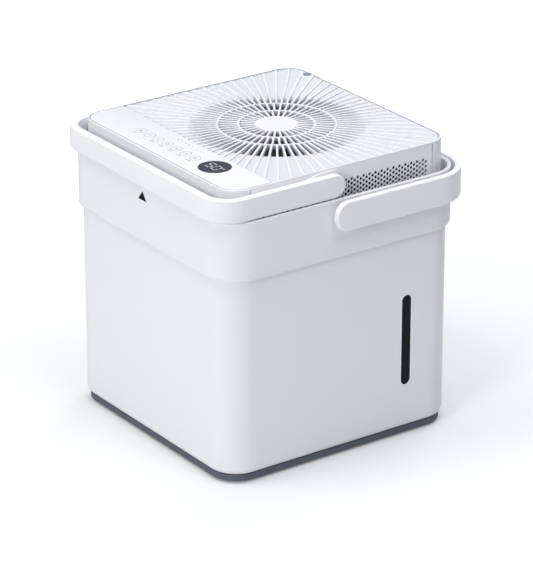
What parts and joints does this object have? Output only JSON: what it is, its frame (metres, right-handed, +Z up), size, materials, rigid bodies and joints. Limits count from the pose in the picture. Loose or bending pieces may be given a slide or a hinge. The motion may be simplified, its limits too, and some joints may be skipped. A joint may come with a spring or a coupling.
{
  "type": "dehumidifier",
  "caption": "Cube dehumidifier: a machine with a radial outlet grille and touch panel nested in a square bucket, each with a folding bail handle.",
  "frame": {"origin": "middle of the footprint, on the floor", "axes": "+Z up; the front with the touch panel faces -Y; the water window faces +X"},
  "size_m": [0.388, 0.388, 0.3903],
  "materials": {
    "tank_white": "satin moulded",
    "unit_white": "satin moulded",
    "handle_white": "satin moulded",
    "panel_white": "smooth",
    "plinth_grey": "fine grain",
    "dark_plastic": "moulded",
    "window_dark": "polished, tinted",
    "display_dark": "polished",
    "rubber_black": "matt",
    "filter_grey": "mesh",
    "board_green": "lacquered",
    "float_foam": "foamed",
    "copper": "drawn copper",
    "aluminium": "mill",
    "black_steel": "enamel",
    "zinc_steel": "zinc plated"
  },
  "bodies": {
    "tank": {"tank_shell": "tank_white", "tank_handle_pin_left": "zinc_steel", "tank_handle_pin_right": "zinc_steel", "plinth": "plinth_grey", "foot_1": "rubber_black", "foot_2": "rubber_black", "foot_3": "rubber_black", "foot_4": "rubber_black", "window_rim": "panel_white", "water_window": "window_dark"},
    "machine": {"front_casing": "unit_white", "rear_casing": "unit_white", "side_grille_left": "unit_white", "side_grille_right": "unit_white", "handle_mount_left": "dark_plastic", "handle_mount_right": "dark_plastic", "main_handle_pin_left": "zinc_steel", "main_handle_pin_right": "zinc_steel", "air_filter_left": "filter_grey", "air_filter_right": "filter_grey", "base_pan": "unit_white", "top_cover": "unit_white", "control_panel": "panel_white", "display_lens": "display_dark", "display_module": "dark_plastic", "touch_board": "board_green", "sensor_cap": "plinth_grey", "outlet_grille": "unit_white", "fan_motor": "black_steel", "fan_shroud": "unit_white", "fan_deck": "unit_white", "motor_bracket": "zinc_steel", "compressor": "black_steel", "compressor_mount_1": "rubber_black", "compressor_mount_2": "rubber_black", "compressor_mount_3": "rubber_black", "accumulator": "black_steel", "evaporator": "aluminium", "condenser": "aluminium", "suction_pipe": "copper", "discharge_pipe": "copper", "capillary_pipe": "copper", "drip_tray": "dark_plastic", "drain_spout": "dark_plastic", "drain_cap": "rubber_black", "float_stem": "dark_plastic", "control_box": "dark_plastic", "control_board": "board_green", "run_capacitor": "aluminium", "humidity_sensor": "board_green", "cord_gland": "rubber_black"},
    "tank_handle": {"tank_handle": "handle_white"},
    "main_handle": {"main_handle": "handle_white"},
    "fan": {"fan_impeller": "dark_plastic"},
    "float": {"float_ring": "float_foam"}
  },
  "joints": [
    {"name": "unit_lift", "type": "slide", "parent": "tank", "child": "machine", "axis": [0, 0, 1], "range_m": [0, 0.36]},
    {"name": "tank_handle_swing", "type": "hinge", "parent": "tank", "child": "tank_handle", "pos_m": [0, -0.0062, 0.33235], "axis": [-1, 0, 0], "range_deg": [-82, 0]},
    {"name": "main_handle_swing", "type": "hinge", "parent": "machine", "child": "main_handle", "pos_m": [0, -0.0176, 0.36885], "axis": [-1, 0, 0], "range_deg": [0, 90]},
    {"name": "fan_spin", "type": "hinge", "parent": "machine", "child": "fan", "pos_m": [0, 0.0208, 0.345], "axis": [0, 0, 1], "continuous": true},
    {"name": "float_rise", "type": "slide", "parent": "machine", "child": "float", "axis": [0, 0, 1], "range_m": [0, 0.008]}
  ]
}
